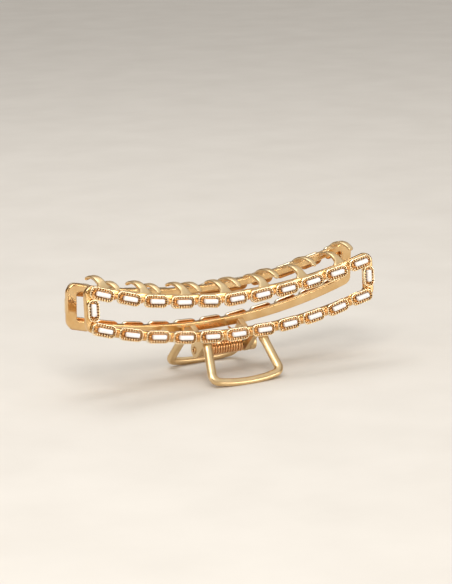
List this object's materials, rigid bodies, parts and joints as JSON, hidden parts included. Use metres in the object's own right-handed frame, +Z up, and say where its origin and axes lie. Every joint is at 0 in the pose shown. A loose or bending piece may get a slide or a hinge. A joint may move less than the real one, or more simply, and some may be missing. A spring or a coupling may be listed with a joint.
{
  "type": "hair claw clip",
  "caption": "Metal hair claw clip: two open curved jaws with interlocking strap teeth, link-chain trim set with white bars, a sprung hinge and two thumb loops.",
  "frame": {"origin": "on the ground, midway between the two thumb loops the clip stands on", "axes": "+X along the clip, -Y to the front jaw, +Z up to the teeth"},
  "size_m": [0.105, 0.0352, 0.0382],
  "materials": {
    "polished_gold": "polished pale gold plating over a zinc casting",
    "spring_gold": "warm gold plated spring steel",
    "white_enamel": "glossy pearl white"
  },
  "bodies": {
    "front_jaw_body": {"front_jaw": "polished_gold", "front_link_chain": "polished_gold", "front_stone_bottom_01": "white_enamel", "front_stone_bottom_02": "white_enamel", "front_stone_bottom_03": "white_enamel", "front_stone_bottom_04": "white_enamel", "front_stone_bottom_05": "white_enamel", "front_stone_bottom_06": "white_enamel", "front_stone_bottom_07": "white_enamel", "front_stone_bottom_08": "white_enamel", "front_stone_bottom_09": "white_enamel", "front_stone_bottom_10": "white_enamel", "front_stone_bottom_11": "white_enamel", "front_stone_top_01": "white_enamel", "front_stone_top_02": "white_enamel", "front_stone_top_03": "white_enamel", "front_stone_top_04": "white_enamel", "front_stone_top_05": "white_enamel", "front_stone_top_06": "white_enamel", "front_stone_top_07": "white_enamel", "front_stone_top_08": "white_enamel", "front_stone_top_09": "white_enamel", "front_stone_top_10": "white_enamel", "front_stone_top_11": "white_enamel", "front_stone_left": "white_enamel", "front_stone_right": "white_enamel", "hinge_pin": "spring_gold", "torsion_spring": "spring_gold"},
    "rear_jaw_body": {"rear_jaw": "polished_gold", "rear_link_chain": "polished_gold", "rear_stone_bottom_01": "white_enamel", "rear_stone_bottom_02": "white_enamel", "rear_stone_bottom_03": "white_enamel", "rear_stone_bottom_04": "white_enamel", "rear_stone_bottom_05": "white_enamel", "rear_stone_bottom_06": "white_enamel", "rear_stone_bottom_07": "white_enamel", "rear_stone_bottom_08": "white_enamel", "rear_stone_bottom_09": "white_enamel", "rear_stone_bottom_10": "white_enamel", "rear_stone_bottom_11": "white_enamel", "rear_stone_top_01": "white_enamel", "rear_stone_top_02": "white_enamel", "rear_stone_top_03": "white_enamel", "rear_stone_top_04": "white_enamel", "rear_stone_top_05": "white_enamel", "rear_stone_top_06": "white_enamel", "rear_stone_top_07": "white_enamel", "rear_stone_top_08": "white_enamel", "rear_stone_top_09": "white_enamel", "rear_stone_top_10": "white_enamel", "rear_stone_top_11": "white_enamel", "rear_stone_left": "white_enamel", "rear_stone_right": "white_enamel"}
  },
  "joints": [
    {"name": "jaw_hinge", "type": "hinge", "parent": "front_jaw_body", "child": "rear_jaw_body", "pos_m": [0, 0, 0.00905], "axis": [-1, 0, 0], "range_deg": [0, 65], "stiffness_Nm_per_rad": 0.05, "springref_deg": -28.65, "deforming": ["torsion_spring"]}
  ]
}
